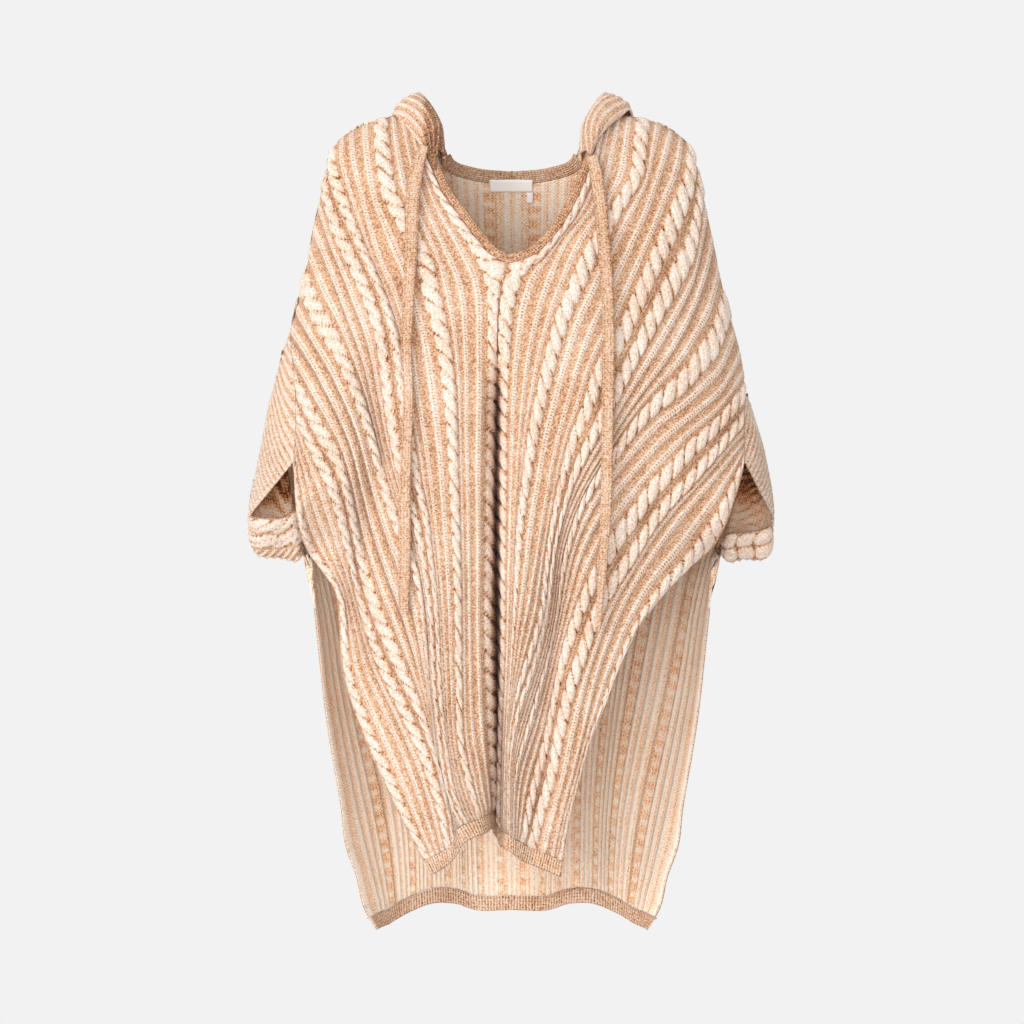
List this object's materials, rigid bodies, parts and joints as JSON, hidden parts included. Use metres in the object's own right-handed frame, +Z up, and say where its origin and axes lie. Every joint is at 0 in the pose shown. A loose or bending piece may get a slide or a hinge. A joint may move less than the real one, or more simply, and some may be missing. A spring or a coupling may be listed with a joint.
{
  "type": "hooded poncho sweater",
  "caption": "Cable-knit hooded poncho sweater, filled out as if worn: V neck with long ties, short batwing sleeves, slit sides and a back longer than the front.",
  "frame": {"origin": "midway between the two shoulders, at the height where they carry the garment", "axes": "+Z up from hem to hood, +Y from the front to the back, +X to the right as seen from the front; left and right in the node names are as seen from the front"},
  "size_m": [0.605, 0.2687, 0.9628],
  "materials": {
    "cable_knit": "chunky marled knit, matt and slightly fuzzy",
    "rib_knit": "fine rib knit, matt",
    "woven_label": "smooth woven tape with a soft sheen"
  },
  "bodies": {
    "root": {"front_panel": "cable_knit", "back_panel": "cable_knit", "sleeve_left": "cable_knit", "sleeve_right": "cable_knit", "hood": "cable_knit", "tie_left": "rib_knit", "tie_right": "rib_knit", "front_hem_band": "rib_knit", "back_hem_band": "rib_knit", "neck_binding": "rib_knit", "back_neck_band": "rib_knit", "label": "woven_label", "size_tab": "woven_label"}
  },
  "joints": []
}
